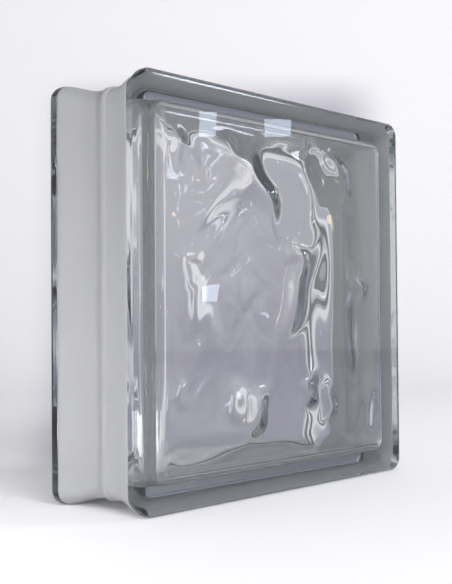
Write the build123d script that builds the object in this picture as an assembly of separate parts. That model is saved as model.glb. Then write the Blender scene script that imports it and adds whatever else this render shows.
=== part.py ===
"""Hollow glass block, as laid in a mortar-jointed glass wall.

Two pressed glass cups are fused rim to rim at mid depth, and the channel round
their edge is painted with a thin white bonding coat. X is the width, Y the
depth with the front face at -Y, and Z is up. The origin is at the middle of
the block's underside. All sizes are in millimetres.
"""

import os
from math import asin, atan2, cos, exp, hypot, pi, radians, sin, tan

from build123d import *

# Overall size
block_width = 240.0
block_height = 240.0
block_depth = 80.0
corner_radius = 9.0

# Flange round each face: its land, and the rounding to the face and to the channel
flange_land = 5.0
rim_radius = 4.5
crest_radius = 12.0

# Mortar channel: it slopes down from the flange to a level floor round the seam
channel_recess = 5.7
channel_floor = 0.3 * block_depth / 2
floor_blend = 0.5 * channel_floor

# Lip of the front cup, which stands proud of the rear cup at the fused seam
lip_height = 0.7
lip_length = 4.5
lip_bevel = 0.5

# Thickness of the glass: the walls thin out towards the seam
pane_thickness = 8.5
wall_at_pane = 9.5
wall_at_seam = 7.6
hollow_corner_radius = 9.0
hollow_fillet = 5.0

# White bonding coat over the channel
coat_thickness = 0.4
coat_margin = 10.0

# Cloud pattern pressed into the inside of each pane, as a panel with a slight raised border.
# Its surface runs through points a step apart, and may leave them by the slack.
pattern_border = 8.0
pattern_fade = 10.0
pattern_step = 7.0
pattern_slack = 0.2
panel_rise = 0.2
panel_lap = 1.0
panel_depth = 5.0

# The pattern: a long crossing swell, with bent folds over it
swell_height = 0.45
swell_length = 78.0
cross_swell_length = 125.0
swell_angle = 62.0
fold_bend = 0.35

# Each fold: x, z from mid height, direction, half length, half width, height
FOLDS = (
    (-42.0, 76.0, -50.0, 18.0, 12.0, -1.5),
    (-14.0, 58.0, -60.0, 22.0, 12.0, -1.6),
    (10.0, -4.0, 64.0, 28.0, 12.0, -1.6),
    (-20.0, -70.0, 58.0, 16.0, 12.0, -1.5),
    (32.0, -64.0, 85.0, 14.0, 13.0, -1.3),
    (24.0, 72.0, -84.0, 26.0, 14.0, -1.3),
    (58.0, 84.0, -58.0, 18.0, 12.0, -1.2),
    (76.0, 4.0, -60.0, 18.0, 12.0, -1.0),
    (84.0, -76.0, 60.0, 20.0, 12.0, -1.3),
    (-90.0, 76.0, 20.0, 14.0, 12.0, -1.2),
    (-66.0, 42.0, 29.0, 28.0, 12.0, 1.2),
    (-58.0, -10.0, 36.0, 26.0, 12.0, 1.3),
    (-70.0, -60.0, 24.0, 26.0, 13.0, 1.2),
)

half_depth = block_depth / 2
mid_height = block_height / 2
tiny = 0.01


def upright(y, sketch):
    """A sketch stood up at depth y about the block's middle, facing the front."""
    return Plane(origin=(0, y, mid_height), x_dir=(1, 0, 0), z_dir=(0, -1, 0)) * sketch


def rounded_section(y, inset, radius):
    """The block's outline at depth y, moved in by inset all round."""
    return upright(y, RectangleRounded(block_width - 2 * inset, block_height - 2 * inset, radius))


def side_profile(span, outset):
    """A cup's section across its depth, in plan: the face at -Y, the channel down both sides."""
    foot = half_depth - channel_floor
    centre_in = crest_radius - channel_recess
    from_centre = hypot(foot - flange_land, centre_in)
    slope = asin(crest_radius / from_centre) - atan2(centre_in, foot - flange_land)
    crest = flange_land + crest_radius * tan(slope / 2)
    edge = span / 2 + outset
    right = FilletPolyline(
        (edge, -half_depth),
        (edge, crest - half_depth),
        (edge - channel_recess, foot - half_depth),
        (edge - channel_recess, 0),
        radius=(crest_radius, floor_blend / tan(slope / 2)),
    )
    left = mirror(right, Plane.YZ)
    ends = (Line(right @ 1, left @ 1), Line(left @ 0, right @ 0))
    return make_face([*right.edges(), *left.edges(), *ends])


def cup_form(outset=0.0):
    """The outer form of the front cup: its section run up and across, with round corners."""
    standing = side_profile(block_width, outset)
    lying = Rot(0, 90, 0) * side_profile(block_height, outset)
    column = extrude(standing, amount=mid_height + outset, dir=(0, 0, 1), both=True)
    beam = extrude(lying, amount=block_width / 2 + outset, dir=(1, 0, 0), both=True)
    form = column & beam
    corners = form.edges().filter_by(
        lambda e: abs((block_width / 2 - abs(e.center().X)) - (mid_height - abs(e.center().Z))) < tiny
    )
    return Pos(0, 0, mid_height) * fillet(corners, corner_radius + outset)


def seam_lip(outset=0.0):
    """The proud band at the front cup's rim, bevelled on both edges."""
    inset = channel_recess - lip_height - outset
    outline = rounded_section(outset, inset, corner_radius + outset)
    band = extrude(outline, amount=lip_length + 2 * outset)
    across = band.faces().filter_by(Axis.Y).edges()
    return chamfer(across, lip_bevel)


def fold(x, z, place):
    """One bent ridge or hollow of the pattern."""
    fold_x, fold_z, angle, half_length, half_width, height = place
    along = (x - fold_x) * cos(radians(angle)) + (z - fold_z) * sin(radians(angle))
    across = (z - fold_z) * cos(radians(angle)) - (x - fold_x) * sin(radians(angle))
    across -= fold_bend * half_width * sin(pi * along / half_length)
    return height * exp(-((along / half_length) ** 2) - (across / half_width) ** 2)


def faded(from_border):
    """Rises from 0 at the pattern's border to 1, with level ends."""
    share = min(max(from_border / pattern_fade, 0.0), 1.0)
    return share * share * (3 - 2 * share)


def relief(x, z, half_width, half_height):
    """Height of the pressed pattern above the pane's level inside, from the panel's middle."""
    across = x * cos(radians(swell_angle)) + z * sin(radians(swell_angle))
    along = z * cos(radians(swell_angle)) - x * sin(radians(swell_angle))
    swell = sin(2 * pi * across / swell_length) + sin(2 * pi * along / cross_swell_length)
    fade = faded(half_width - abs(x)) * faded(half_height - abs(z))
    return panel_rise + fade * (swell_height * swell + sum(fold(x, z, place) for place in FOLDS))


def pattern_panel(level, half_width, half_height):
    """The glass of the front pane under its pattern, up to the pressed surface."""
    reach_out = half_width + panel_lap
    reach_up = half_height + panel_lap
    across = round(2 * reach_out / pattern_step)
    up = round(2 * reach_up / pattern_step)
    columns = [reach_out * (2 * i / across - 1) for i in range(across + 1)]
    rows = [reach_up * (2 * j / up - 1) for j in range(up + 1)]
    points = [
        [(x, level + relief(x, z, half_width, half_height), mid_height + z) for x in columns]
        for z in rows
    ]
    pressed = Face.make_surface_from_array_of_points(
        points, tol=pattern_slack, min_deg=3, max_deg=3
    )
    panel = extrude(pressed, amount=2 * pane_thickness, dir=(0, -1, 0))
    border = upright(level + hollow_fillet, Rectangle(2 * half_width, 2 * half_height))
    return panel & extrude(border, amount=hollow_fillet + pane_thickness)


def hollow_section(centre):
    """Half of the hollow's section in plan: its drafted wall stands out from a corner's centre."""
    level = pane_thickness - half_depth
    seam_edge = centre + hollow_corner_radius
    pane_edge = seam_edge - (wall_at_pane - wall_at_seam)
    return make_face(Polyline((0, 0), (seam_edge, 0), (pane_edge, level), (0, level), close=True))


def plunger_form():
    """The form of the plunger that presses the front cup: drafted, with round corners."""
    inset = channel_recess + wall_at_seam + hollow_corner_radius
    centre_x = block_width / 2 - inset
    centre_z = mid_height - inset
    standing = hollow_section(centre_x)
    lying = hollow_section(centre_z)
    standing += mirror(standing, Plane.YZ)
    lying += mirror(lying, Plane.YZ)
    column = extrude(standing, amount=centre_z, dir=(0, 0, 1), both=True)
    beam = extrude(Rot(0, 90, 0) * lying, amount=centre_x, dir=(1, 0, 0), both=True)
    post = revolve(hollow_section(0), axis=Axis.Y)
    posts = [Pos(x, 0, z) * post for x in (-centre_x, centre_x) for z in (-centre_z, centre_z)]
    form = Pos(0, 0, mid_height) * (column + beam + posts)
    return fillet(form.faces().sort_by(Axis.Y)[0].edges(), hollow_fillet)


def cup_hollow():
    """The space inside the front cup: the plunger's form, less the pane's pressed pattern."""
    level = pane_thickness - half_depth
    border = channel_recess + wall_at_pane + pattern_border
    half_width = block_width / 2 - border
    half_height = mid_height - border
    recess = Rectangle(2 * (half_width - panel_lap), 2 * (half_height - panel_lap))
    reach = hollow_fillet + panel_depth
    hollow = plunger_form() + extrude(upright(level + hollow_fillet, recess), amount=reach)
    return hollow - pattern_panel(level, half_width, half_height)


def cup_outside():
    """The outer form of a plain cup, with the rim of its face rounded."""
    form = cup_form()
    return fillet(form.faces().sort_by(Axis.Y)[0].edges(), rim_radius)


def turned_round(shape):
    """A front cup's form in the rear cup's place: the same mould, turned about the upright axis."""
    return Rot(0, 0, 180) * shape


def edge_coat(front, rear):
    """The white coat: one thin skin over both cups, short of the flanges."""
    front_skin = cup_form(coat_thickness) + seam_lip(coat_thickness)
    rear_skin = turned_round(cup_form(coat_thickness))
    band = rounded_section(half_depth - coat_margin, 0, corner_radius)
    coated = extrude(band, amount=block_depth - 2 * coat_margin)
    return coated & (front_skin + rear_skin) - front - rear


def main():
    os.makedirs("parts", exist_ok=True)
    outside = cup_outside()
    hollow = cup_hollow()
    front = outside + seam_lip()
    rear = turned_round(outside)
    pieces = {
        "front_glass_half": front - hollow,
        "rear_glass_half": rear - turned_round(hollow),
        "edge_coating": edge_coat(front, rear),
    }
    for name, piece in pieces.items():
        export_step(piece, f"parts/{name}.step")


main()
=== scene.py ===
from math import asin, atan2, cos, exp, hypot, pi, radians, sin, sqrt, tan

import bmesh
import bpy
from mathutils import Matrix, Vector, noise


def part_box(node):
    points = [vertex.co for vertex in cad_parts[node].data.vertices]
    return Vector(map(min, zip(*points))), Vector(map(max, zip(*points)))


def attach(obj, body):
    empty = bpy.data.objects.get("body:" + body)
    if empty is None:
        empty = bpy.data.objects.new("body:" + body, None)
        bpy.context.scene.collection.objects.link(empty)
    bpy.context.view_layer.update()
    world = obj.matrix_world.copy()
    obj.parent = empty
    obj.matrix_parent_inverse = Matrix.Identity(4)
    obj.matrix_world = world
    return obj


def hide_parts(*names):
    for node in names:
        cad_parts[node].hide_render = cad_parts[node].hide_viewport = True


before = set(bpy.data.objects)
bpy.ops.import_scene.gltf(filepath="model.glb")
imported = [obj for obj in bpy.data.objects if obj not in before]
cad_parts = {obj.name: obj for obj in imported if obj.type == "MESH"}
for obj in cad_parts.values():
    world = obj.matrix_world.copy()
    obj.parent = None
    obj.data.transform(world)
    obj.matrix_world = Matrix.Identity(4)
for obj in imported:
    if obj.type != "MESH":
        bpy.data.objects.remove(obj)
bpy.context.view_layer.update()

# Glass body: two cups of clear soda-lime glass, each pressed in a mould with a plunger, then
# fused rim to rim while hot. Outside, the panes are flat. Inside, the plunger leaves the cloud
# pattern, which bends the view through the block. Its sizes are in millimetres.
MM = 0.001
FRONT_GLASS = "front_glass_half"
REAR_GLASS = "rear_glass_half"
low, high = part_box(FRONT_GLASS)
half_width = (high[0] - low[0]) / 2 / MM
mid_height = (high[2] + low[2]) / 2 / MM
half_depth = -low[1] / MM
block_depth = 2 * half_depth
corner_radius = 9.0

# Flange round each face: its land, the rounding to the face, the crest above the channel, and
# a narrow ring that keeps the face flat up to its rounding
flange_land = 7.0
rim_radius = 4.5
crest_radius = 4.0
face_edge = 0.6

# Mortar channel, which slopes down from the flange to a level floor round the seam
channel_recess = 5.7
channel_floor = 0.3 * half_depth
floor_blend = 0.5 * channel_floor

# Lip of the front cup at the seam: its sides lean a little, and it laps just past the seam
lip_height = 0.7
lip_length = 4.5
lip_bevel = 0.5
lip_lean = 0.1
seam_overlap = 0.05

# Thickness of the glass, and the corners of the hollow
pane_thickness = 8.5
wall_at_pane = 9.5
wall_at_seam = 7.6
hollow_corner_radius = 9.0
hollow_fillet = 7.8

# Cloud pattern: a long crossing swell, with bent folds over it, inside a plain border
pattern_border = 8.0
pattern_fade = 10.0
swell_height = 0.45
swell_length = 78.0
cross_swell_length = 124.8
swell_angle = 62.0
fold_bend = 0.35

# Each fold: x, z from mid height, direction, half length, half width, height
FOLDS = (
    (-42.0, 78.0, -50.0, 17.0, 8.0, -2.4),
    (-20.0, 62.0, -60.0, 20.0, 7.5, -3.6),
    (12.0, 25.0, -48.0, 9.0, 6.0, -2.4),
    (10.0, -1.0, 63.0, 26.0, 7.0, -3.6),
    (-25.0, -69.0, 58.0, 13.0, 6.5, -3.4),
    (22.0, -61.0, 80.0, 7.0, 6.0, -2.8),
    (44.0, -68.0, 85.0, 9.0, 5.5, -2.4),
    (22.0, 72.0, -84.0, 24.0, 14.0, -1.5),
    (54.0, 84.0, -58.0, 15.0, 5.0, -1.8),
    (56.0, -8.0, 86.0, 130.0, 15.0, -2.8),
    (76.0, 6.0, -60.0, 9.0, 6.0, -1.8),
    (84.0, -80.0, 60.0, 18.0, 6.5, -1.8),
    (-91.0, 80.0, 20.0, 8.0, 7.0, -2.4),
    (-68.0, 76.0, 70.0, 16.0, 8.0, 1.2),
    (-82.0, 48.0, 12.0, 14.0, 4.0, 0.3),
    (-64.0, 38.0, 29.0, 24.0, 4.5, 0.6),
    (-68.0, 12.0, 32.0, 26.0, 4.0, 0.25),
    (-44.0, 16.0, 28.0, 18.0, 3.5, 0.4),
    (-38.0, -16.0, 40.0, 30.0, 4.0, 0.5),
    (-70.0, -16.0, 50.0, 18.0, 5.0, 0.35),
    (-76.0, -52.0, 36.0, 18.0, 4.0, 0.5),
    (-70.0, -60.0, 24.0, 24.0, 10.0, 0.7),
)

# Vertices along one side of the hollow, along one side of the outside, and round half a corner
SIDE = 132
OUTER_SIDE = 48
TURN = 9

# Rings round the rim, round the fillet and down the wall, and the step from ring to ring in the
# channel
RIM_RINGS = 10
FILLET_RINGS = 12
WALL_RINGS = 12
channel_step = 1.25

# The channel's slope touches the arc of the crest at one end and the arc to the floor at the other
foot = half_depth - channel_floor
centre_in = crest_radius - channel_recess
slope_reach = hypot(foot - flange_land, centre_in)
slope = asin(crest_radius / slope_reach) - atan2(centre_in, foot - flange_land)
slope_start = flange_land + crest_radius * tan(slope / 2)
floor_radius = floor_blend / tan(slope / 2)
floor_start = foot + floor_blend


def channel_inset(depth):
    """How far the channel lies inside the flange, by depth from the nearer face."""
    if depth <= flange_land:
        return 0.0
    if depth < flange_land + crest_radius * sin(slope):
        return crest_radius - sqrt(crest_radius**2 - (depth - flange_land) ** 2)
    if depth < floor_start - floor_radius * sin(slope):
        return (depth - slope_start) * tan(slope)
    if depth < floor_start:
        return channel_recess - floor_radius + sqrt(floor_radius**2 - (floor_start - depth) ** 2)
    return channel_recess


def outside_sizes():
    """The front cup's outside, to its lip, as (half width, corner radius, depth from its face)."""
    sizes = [(half_width - rim_radius - face_edge, corner_radius - rim_radius, 0.0)]
    for i in range(RIM_RINGS + 1):
        turn = pi / 2 * i / RIM_RINGS
        inset = rim_radius * (1 - sin(turn))
        sizes.append((half_width - inset, corner_radius - inset, rim_radius * (1 - cos(turn))))
    depth = flange_land
    while depth < half_depth - lip_length - 2 * lip_lean:
        sizes.append((half_width - channel_inset(depth), corner_radius, depth))
        depth += channel_step
    return sizes


def lip_sizes():
    """The proud lip of the front cup, from the channel's floor to the seam."""
    floor_half = half_width - channel_recess
    lip_half = floor_half + lip_height
    start = half_depth - lip_length
    return [
        (floor_half, corner_radius, start - lip_lean),
        (lip_half - lip_bevel, corner_radius, start + lip_lean),
        (lip_half, corner_radius, start + lip_bevel),
        (lip_half, corner_radius, half_depth - lip_bevel),
        (lip_half - lip_bevel, corner_radius, half_depth - seam_overlap),
        (floor_half, corner_radius, half_depth + seam_overlap),
    ]


def hollow_sizes():
    """The front cup's inside from the pane's flat to the seam, as (half width, radius, depth)."""
    draft = atan2(wall_at_pane - wall_at_seam, half_depth - pane_thickness)
    reach = hollow_fillet * (1 - sin(draft)) / cos(draft)
    centre = half_width - channel_recess - wall_at_pane - reach
    radius_at_pane = hollow_corner_radius - (wall_at_pane - wall_at_seam)
    sizes = []
    for i in range(FILLET_RINGS + 1):
        turn = pi / 2 - (pi / 2 - draft) * i / FILLET_RINGS
        out = hollow_fillet * cos(turn)
        down = hollow_fillet * (1 - sin(turn))
        sizes.append((centre + out, radius_at_pane - reach + out, pane_thickness + down))
    fillet_end = sizes[-1][2]
    for i in range(1, WALL_RINGS + 1):
        depth = fillet_end + (half_depth - fillet_end) * i / WALL_RINGS
        move = (half_depth - depth) * tan(draft)
        wall = half_width - channel_recess - wall_at_seam - move
        sizes.append((wall, hollow_corner_radius - move, depth))
    return sizes


def mirrored(sizes):
    """The rear cup's sizes, in the opposite order: the same form, from the seam to its face."""
    return [(half, radius, block_depth - depth) for half, radius, depth in reversed(sizes)]


def ring(half, radius, y, count):
    """A rounded square round the block at depth y: its points, starting at a lower corner."""
    points = []
    flat = half - radius
    straight = count - 2 * TURN
    for side in range(4):
        for i in range(count):
            if i < TURN:
                turn = pi / 4 * (i / TURN - 1)
                a, b = -flat + radius * sin(turn), flat + radius * cos(turn)
            elif i <= TURN + straight:
                a, b = flat * (2 * (i - TURN) / straight - 1), half
            else:
                turn = pi / 4 * (i - TURN - straight) / TURN
                a, b = flat + radius * sin(turn), flat + radius * cos(turn)
            x, z = ((a, -b), (b, a), (-a, b), (-b, -a))[side]
            points.append((x, y, z))
    return points


def vertex(bm, x, y, z):
    """A vertex at x, y and z from mid height, in millimetres."""
    return bm.verts.new((x * MM, y * MM, (z + mid_height) * MM))


def rings_of(bm, sizes, count):
    """Rings of vertices for a list of (half width, corner radius, depth from the front face)."""
    rows = []
    for half, radius, depth in sizes:
        points = ring(half, radius, depth - half_depth, count)
        rows.append([vertex(bm, *point) for point in points])
    return rows


def skin(bm, rows, finish=0):
    """Quads between neighbouring rings, in one of the piece's finishes."""
    for one, two in zip(rows, rows[1:]):
        for i in range(len(one)):
            j = (i + 1) % len(one)
            quad = bm.faces.new((two[i], two[j], one[j], one[i]))
            quad.material_index = finish


def fold(x, z, place):
    """One bent ridge or hollow of the pattern."""
    fold_x, fold_z, angle, half_length, half_width, height = place
    along = (x - fold_x) * cos(radians(angle)) + (z - fold_z) * sin(radians(angle))
    across = (z - fold_z) * cos(radians(angle)) - (x - fold_x) * sin(radians(angle))
    across -= fold_bend * half_width * sin(pi * along / half_length)
    return height * exp(-((along / half_length) ** 2) - (across / half_width) ** 2)


def eased(share):
    """Rises from 0 to 1 with level ends."""
    share = min(max(share, 0.0), 1.0)
    return share * share * (3 - 2 * share)


half_panel = half_width - channel_recess - wall_at_pane - pattern_border


def relief(x, z):
    """Height of the pressed pattern above the pane's level inside."""
    fade = eased((half_panel - abs(x)) / pattern_fade) * eased((half_panel - abs(z)) / pattern_fade)
    across = x * cos(radians(swell_angle)) + z * sin(radians(swell_angle))
    along = z * cos(radians(swell_angle)) - x * sin(radians(swell_angle))
    swell = sin(2 * pi * across / swell_length) + sin(2 * pi * along / cross_swell_length)
    return fade * (swell_height * swell + sum(fold(x, z, place) for place in FOLDS))


def pressed_pane(bm, side):
    """The inside of the front pane (side 1) or the rear one (side -1), and its border's vertices.

    The rear pane comes from the same mould, so it is the front one turned half round.
    """
    grid = []
    for j in range(SIDE + 1):
        z = half_panel * (2 * j / SIDE - 1)
        row = []
        for i in range(SIDE + 1):
            x = half_panel * (2 * i / SIDE - 1)
            level = pane_thickness - half_depth + relief(side * x, z)
            row.append(vertex(bm, x, side * level, z))
        grid.append(row)
    for j in range(SIDE):
        for i in range(SIDE):
            quad = (grid[j][i], grid[j][i + 1], grid[j + 1][i + 1], grid[j + 1][i])
            bm.faces.new(quad[::-side])
    bottom = grid[0][:-1]
    right = [row[-1] for row in grid[:-1]]
    top = grid[-1][:0:-1]
    left = [row[0] for row in grid[:0:-1]]
    return bottom + right + top + left


def new_piece(name, bm):
    """A smooth-shaded object from a mesh that is done."""
    mesh = bpy.data.meshes.new(name)
    bm.to_mesh(mesh)
    bm.free()
    for face in mesh.polygons:
        face.use_smooth = True
    piece = bpy.data.objects.new(name, mesh)
    bpy.context.scene.collection.objects.link(piece)
    return piece


bm = bmesh.new()
front_side = outside_sizes()
rear_side = mirrored(front_side)
outer = rings_of(bm, front_side + lip_sizes() + rear_side, OUTER_SIDE)
skin(bm, outer)
bm.faces.new(outer[0])
bm.faces.new(outer[-1][::-1])
front_walls = hollow_sizes()
inner = rings_of(bm, front_walls + mirrored(front_walls)[1:], SIDE)
front_border = pressed_pane(bm, 1)
rear_border = pressed_pane(bm, -1)
skin(bm, [rear_border] + inner[::-1] + [front_border])
glass = new_piece("fused_glass_body", bm)


def linear(code):
    """An sRGB hex colour as linear red, green, blue and full alpha."""
    parts = [int(code[i : i + 2], 16) / 255 for i in (1, 3, 5)]
    return [p / 12.92 if p <= 0.04045 else ((p + 0.055) / 1.055) ** 2.4 for p in parts] + [1.0]


def new_material(name):
    """A material with an empty node tree."""
    material = bpy.data.materials.new(name)
    material.use_nodes = True
    material.node_tree.nodes.clear()
    return material


def add_node(material, kind, settings=None, links=None):
    """Adds one node, sets its properties and inputs, and links outputs to its inputs."""
    tree = material.node_tree
    node = tree.nodes.new(kind)
    for key, value in (settings or {}).items():
        if isinstance(key, str) and hasattr(node, key):
            setattr(node, key, value)
        else:
            node.inputs[key].default_value = value
    for key, source in (links or {}).items():
        tree.links.new(source, node.inputs[key])
    return node


# Soda-lime glass, fire-polished: clear and glossy, with long faint waves that bend what it
# reflects. It is slightly grey-green in its depth, so thick places and edges read darker.
wave_length = 26.3
pressed_glass = new_material("fire_polished_soda_lime_glass")
glass_place = add_node(pressed_glass, "ShaderNodeNewGeometry")
waves = add_node(
    pressed_glass,
    "ShaderNodeTexNoise",
    {"Scale": 1 / (wave_length * MM), "Detail": 1.0, "Roughness": 0.4},
    {"Vector": glass_place.outputs["Position"]},
)
ripple = add_node(
    pressed_glass,
    "ShaderNodeBump",
    {"Strength": 0.35, "Distance": 0.2 * MM},
    {"Height": waves.outputs["Fac"]},
)
clear = add_node(
    pressed_glass,
    "ShaderNodeBsdfPrincipled",
    {
        "Base Color": linear("#FFFFFF"),
        "Roughness": 0.0,
        "IOR": 1.52,
        "Transmission Weight": 1.0,
    },
    {"Normal": ripple.outputs["Normal"]},
)
tint = add_node(
    pressed_glass,
    "ShaderNodeVolumeAbsorption",
    {"Color": linear("#92A2AC"), "Density": 15.0},
)
add_node(
    pressed_glass,
    "ShaderNodeOutputMaterial",
    {},
    {"Surface": clear.outputs[0], "Volume": tint.outputs[0]},
)
glass.data.materials.append(pressed_glass)
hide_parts(FRONT_GLASS, REAR_GLASS)
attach(glass, "root")

# Bonding coat: a white vinyl-based paint rolled over the mortar channel, so that mortar grips
# the glass. It is a few tenths of a millimetre thick and stops short of both faces. Its inner
# skin lies just inside the glass, so that no gap shows between them.
coat_thickness = 0.4
coat_bite = 0.04
front_margin = 14.5
rear_margin = 8.25

# Its share of the thickness at an edge, how far in it is full, and how far in its edge wanders
edge_share = 0.12
edge_build_up = 2.5
wander_fade = 8.0

# Its finishes, in the order of its materials: the outside, greyed with painted shade, and the face
# to the glass
SHADED_OUTER_FINISH = 0
INNER_FINISH = 1

# The painted edge wanders slowly and ripples finely, by these heights. Both are read from noise
# on a circle round the block, whose radius in noise cells sets how often they turn.
wander_height = 0.45
wander_circle = 9.0
ripple_height = 0.2
ripple_circle = 70.0
FRONT_NOISE = (1.0, 5.0)
REAR_NOISE = (7.0, 3.0)


def painted_edge(i, levels):
    """How far the painted edge strays at ring point i, read at two levels of the noise."""
    turn = 2 * pi * i / (4 * SIDE)
    wander = Vector((wander_circle * cos(turn), wander_circle * sin(turn), levels[0]))
    ripple = Vector((ripple_circle * cos(turn), ripple_circle * sin(turn), levels[1]))
    return wander_height * noise.noise(wander) + ripple_height * noise.noise(ripple)


def inset_at(depth):
    """How far the channel lies inside the flange, by depth from the front face."""
    return channel_inset(min(depth, block_depth - depth))


def coat_rows(bm, offset):
    """Rings of the coat's skin, offset from the glass; its ends follow the painted edge."""
    start = front_margin - channel_step / 2
    end = block_depth - rear_margin + channel_step / 2
    sizes = [size for size in front_side if size[2] > start] + lip_sizes()
    sizes += [size for size in rear_side if size[2] < end]
    first, last = sizes[0][2], sizes[-1][2]
    rows = []
    for half, radius, depth in sizes:
        from_end = min(depth - first, last - depth)
        out = offset
        if offset > 0:
            out *= eased(edge_share + from_end / edge_build_up)
        stray = max(0.0, 1 - from_end / wander_fade)
        levels = REAR_NOISE if depth > half_depth else FRONT_NOISE
        row = []
        for i, (x, y, z) in enumerate(ring(half + out, radius + out, depth - half_depth, SIDE)):
            shift = stray * painted_edge(i, levels)
            change = inset_at(depth) - inset_at(depth + shift)
            grow = 1 + change / (half + out)
            row.append(vertex(bm, x * grow, y + shift, z * grow))
        rows.append(row)
    return rows


bm = bmesh.new()
coat_outside = coat_rows(bm, coat_thickness)
coat_inside = coat_rows(bm, -coat_bite)
skin(bm, coat_outside, SHADED_OUTER_FINISH)
skin(bm, coat_inside[::-1], INNER_FINISH)
skin(bm, [coat_inside[0], coat_outside[0]], SHADED_OUTER_FINISH)
skin(bm, [coat_outside[-1], coat_inside[-1]], SHADED_OUTER_FINISH)
coat = new_piece("white_bonding_coat", bm)

# Vinyl bonding paint, rolled on: matt and chalky, with a faint roller mottle, and thin enough
# that light comes through. Its white is drawn light grey outside, as painted shade. Its real grain
# is about 0.2 mm, drawn coarser so that it shows.
mottle_size = 11.1
grain_size = 0.714
film_glow = 0.5
bonding_paint = new_material("matt_bonding_paint_with_painted_shade")
paint_place = add_node(bonding_paint, "ShaderNodeNewGeometry")
mottle = add_node(
    bonding_paint,
    "ShaderNodeTexNoise",
    {"Scale": 1 / (mottle_size * MM), "Detail": 5.0, "Roughness": 0.6},
    {"Vector": paint_place.outputs["Position"]},
)
# The ramp's two greys are painted shade on the white paint; the mottle between them is random
shade = add_node(bonding_paint, "ShaderNodeValToRGB", {}, {"Fac": mottle.outputs["Fac"]})
shade.color_ramp.elements[0].position = 0.3
shade.color_ramp.elements[0].color = linear("#BABABE")
shade.color_ramp.elements[1].position = 0.7
shade.color_ramp.elements[1].color = linear("#C0C0C4")
grain = add_node(
    bonding_paint,
    "ShaderNodeTexNoise",
    {"Scale": 1 / (grain_size * MM), "Detail": 2.0},
    {"Vector": paint_place.outputs["Position"]},
)
chalk = add_node(
    bonding_paint,
    "ShaderNodeBump",
    {"Strength": 0.25, "Distance": 0.2 * MM},
    {"Height": grain.outputs["Fac"]},
)
paint = add_node(
    bonding_paint,
    "ShaderNodeBsdfPrincipled",
    {"Roughness": 0.75, "IOR": 1.45},
    {"Base Color": shade.outputs["Color"], "Normal": chalk.outputs["Normal"]},
)
through = add_node(bonding_paint, "ShaderNodeBsdfTranslucent", {"Color": linear("#F2F3F3")})
film = add_node(
    bonding_paint,
    "ShaderNodeMixShader",
    {0: film_glow},
    {1: paint.outputs[0], 2: through.outputs[0]},
)
add_node(bonding_paint, "ShaderNodeOutputMaterial", {}, {"Surface": film.outputs[0]})

# The same paint where it lies against the glass, in its own even white. The outside's greyer
# colour is painted shade.
bond_glow = 0.58
bond_face = new_material("white_bonding_paint_against_glass")
clean = add_node(
    bond_face,
    "ShaderNodeBsdfPrincipled",
    {"Base Color": linear("#F8F9F9"), "Roughness": 0.8},
)
glow = add_node(bond_face, "ShaderNodeBsdfTranslucent", {"Color": linear("#F2F3F3")})
bond = add_node(
    bond_face,
    "ShaderNodeMixShader",
    {0: bond_glow},
    {1: clean.outputs[0], 2: glow.outputs[0]},
)
add_node(bond_face, "ShaderNodeOutputMaterial", {}, {"Surface": bond.outputs[0]})
coat.data.materials.append(bonding_paint)
coat.data.materials.append(bond_face)
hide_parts("edge_coating")
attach(coat, "root")

# Paper sweep: pale studio paper, flat under the block and bent up behind it, hung square to the
# camera. Where the clear panes look out, a lavender-grey painted shade stands in for a dim room,
# and the paper beside the block stays pale. Sizes from here on are in metres.
floor_front = -2.5
floor_back = 0.9
bend_radius = 0.8
sweep_height = 3.2
half_sweep = 3.0
sweep_turn = -49.6
BEND_STEPS = 12

bm = bmesh.new()
profile = [(floor_front, 0.0), (floor_back, 0.0)]
for i in range(1, BEND_STEPS + 1):
    turn = pi / 2 * i / BEND_STEPS
    profile.append((floor_back + bend_radius * sin(turn), bend_radius * (1 - cos(turn))))
profile.append((floor_back + bend_radius, sweep_height))
rows = [[bm.verts.new((x, y, z)) for x in (-half_sweep, half_sweep)] for y, z in profile]
for one, two in zip(rows, rows[1:]):
    bm.faces.new((one[0], one[1], two[1], two[0]))
sweep = new_piece("paper_sweep", bm)
sweep.rotation_euler = (0, 0, radians(sweep_turn))

# Matt paper. Its painted shade is laid out on the paper itself: by height, by how far it lies
# behind the block, and by bearing, which is how far to the side it lies for its distance from the
# front.
set_front = 0.674
bearing_middle = -0.045
paper = new_material("pale_studio_paper_with_painted_shade")
paper_place = add_node(paper, "ShaderNodeTexCoord")
axes = add_node(
    paper,
    "ShaderNodeSeparateXYZ",
    {},
    {"Vector": paper_place.outputs["Object"]},
)
across, away, up = axes.outputs
distance = add_node(paper, "ShaderNodeMath", {"operation": "ADD", 1: set_front}, {0: away})
bearing = add_node(
    paper,
    "ShaderNodeMath",
    {"operation": "DIVIDE"},
    {0: across, 1: distance.outputs[0]},
)
off_middle = add_node(
    paper,
    "ShaderNodeMath",
    {"operation": "SUBTRACT", 1: bearing_middle},
    {0: bearing.outputs[0]},
)
aside = add_node(paper, "ShaderNodeMath", {"operation": "ABSOLUTE"}, {0: off_middle.outputs[0]})

# The painted shade lies behind the block, on the floor as a painted shadow, and again well above
# and beside it. The paper between, which shows round the block, stays pale. Each soft edge of the
# shade: what it goes by, where it starts, where it is full, and its share at the start
EDGES = {
    "left": (bearing.outputs[0], -0.228, -0.14, 0.0),
    "right": (bearing.outputs[0], 0.125, 0.06, 0.0),
    "far aside": (aside.outputs[0], 0.23, 0.32, 0.0),
    "low": (up, 0.67, 0.55, 0.0),
    "high": (up, 0.88, 1.05, 0.0),
    "behind": (away, 0.0, 0.2, 0.0),
    "floor": (up, 0.3, 0.0, 0.8),
}
shares = {}
for edge, (source, start, end, least) in EDGES.items():
    ramp = add_node(
        paper,
        "ShaderNodeMapRange",
        {
            "interpolation_type": "SMOOTHSTEP",
            "From Min": start,
            "From Max": end,
            "To Min": least,
        },
        {"Value": source},
    )
    shares[edge] = ramp.outputs["Result"]

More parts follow.
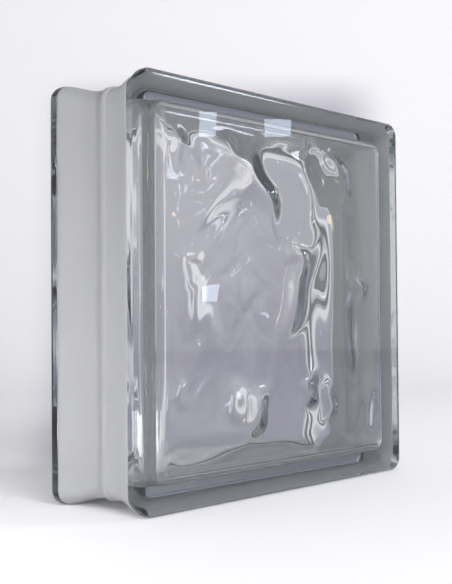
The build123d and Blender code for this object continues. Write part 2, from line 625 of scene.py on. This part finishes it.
# How the edges make up the tone, two at a time
STEPS = (
    ("behind the block", "MULTIPLY", "left", "right"),
    ("all round", "ADD", "behind the block", "far aside"),
    ("heights", "ADD", "low", "high"),
    ("floor part", "MULTIPLY", "behind", "floor"),
    ("by height", "MULTIPLY", "floor part", "heights"),
    ("tone", "MULTIPLY", "by height", "all round"),
)
for result, operation, one, two in STEPS:
    step = add_node(
        paper,
        "ShaderNodeMath",
        {"operation": operation},
        {0: shares[one], 1: shares[two]},
    )
    shares[result] = step.outputs[0]
# Pale paper mixed with the lavender-grey painted shade
paper_with_painted_shade = add_node(
    paper,
    "ShaderNodeMix",
    {"data_type": "RGBA", 6: linear("#FEFDFF"), 7: linear("#AAA7B5")},
    {0: shares["tone"]},
)
sheet = add_node(
    paper,
    "ShaderNodeBsdfPrincipled",
    {"Roughness": 0.9},
    {"Base Color": paper_with_painted_shade.outputs[2]},
)
add_node(paper, "ShaderNodeOutputMaterial", {}, {"Surface": sheet.outputs[0]})
sweep.data.materials.append(paper)

# Room: white walls that send an even light from all sides, dimmer overhead, so that the glass
# has something soft to show at its edges.
world = bpy.data.worlds.new("even_studio")
world.use_nodes = True
world.node_tree.nodes.clear()
bpy.context.scene.world = world
room = add_node(world, "ShaderNodeTexCoord")
room_axes = add_node(world, "ShaderNodeSeparateXYZ", {}, {"Vector": room.outputs["Generated"]})
brightness = add_node(
    world,
    "ShaderNodeMapRange",
    {"From Min": 0.2, "From Max": 0.8, "To Min": 0.84, "To Max": 0.4},
    {"Value": room_axes.outputs["Z"]},
)
walls = add_node(
    world,
    "ShaderNodeBackground",
    {"Color": linear("#FFFFFF")},
    {"Strength": brightness.outputs["Result"]},
)
add_node(world, "ShaderNodeOutputWorld", {}, {"Surface": walls.outputs[0]})


# Lamps: a broad softbox in front, a strip near the floor at the left, and one softbox high on
# the right. Three small cool panes give the polished glass its window reflections, and a warm
# lamp its few golden glints.
def add_lamp(name, place, aim, size, watts, colour):
    """A rectangular lamp at a place, aimed at a point."""
    lamp = bpy.data.lights.new(name, "AREA")
    lamp.shape = "RECTANGLE"
    lamp.size, lamp.size_y = size
    lamp.energy = watts
    lamp.color = linear(colour)[:3]
    holder = bpy.data.objects.new(name, lamp)
    holder.location = place
    holder.rotation_euler = (Vector(aim) - Vector(place)).to_track_quat("-Z", "Y").to_euler()
    bpy.context.scene.collection.objects.link(holder)
    return lamp


WHITE = "#FFFFFF"
DAYLIGHT = "#DCE9FF"
front = add_lamp("front_softbox", (-0.7, -1.8, 1.0), (0.0, 0.0, 0.1), (1.2, 1.0), 33.0, WHITE)
add_lamp("floor_softbox", (-0.34, 0.02, 0.02), (-0.12, 0.0, 0.06), (0.3, 0.03), 0.35, WHITE)
add_lamp("high_softbox", (1.15, -1.0, 1.05), (0.0, 0.0, 0.12), (0.3, 0.5), 6.0, "#EAF1FF")
add_lamp("warm_lamp", (0.8, -1.5, 0.45), (-0.05, -0.04, 0.12), (0.12, 0.12), 0.5, "#FFE2B8")

# Each window pane: place, the point of the front face that it shines on, size, watts
WINDOW_PANES = (
    ((1.12, -1.19, 0.164), (-0.06, -0.04, 0.12), (0.04, 0.034), 0.03),
    ((1.108, -1.185, 0.52), (-0.0635, -0.04, 0.213), (0.038, 0.055), 0.045),
    ((1.08, -0.97, 0.48), (0.0, -0.04, 0.212), (0.05, 0.03), 0.03),
)
for number, (place, aim, size, watts) in enumerate(WINDOW_PANES, start=1):
    add_lamp(f"window_pane_{number}", place, aim, size, watts, DAYLIGHT)

# The front softbox lights the block, and the polished panes don't mirror it as a white square.
front.cycles.use_multiple_importance_sampling = False

# Camera: at the photograph's angle, from the left, a little below the block's middle and almost
# level. Its lens and shift give the photograph's frame.
camera = bpy.data.objects.new("camera", bpy.data.cameras.new("camera"))
camera.data.lens = 65.493
camera.data.sensor_width = 36.0
camera.data.shift_x = -0.0925
camera.data.clip_start = 0.01
camera.location = (-0.4974, -0.4551, 0.1041)
camera.rotation_euler = (radians(91.513), radians(0.532), radians(-49.629))
bpy.context.scene.collection.objects.link(camera)
bpy.context.scene.camera = camera

# A view through the block crosses the glass many times, so its light may bounce often.
scene = bpy.context.scene
scene.view_settings.view_transform = "Standard"
scene.cycles.max_bounces = 24
scene.cycles.transmission_bounces = 24
scene.cycles.glossy_bounces = 12
scene.cycles.diffuse_bounces = 6
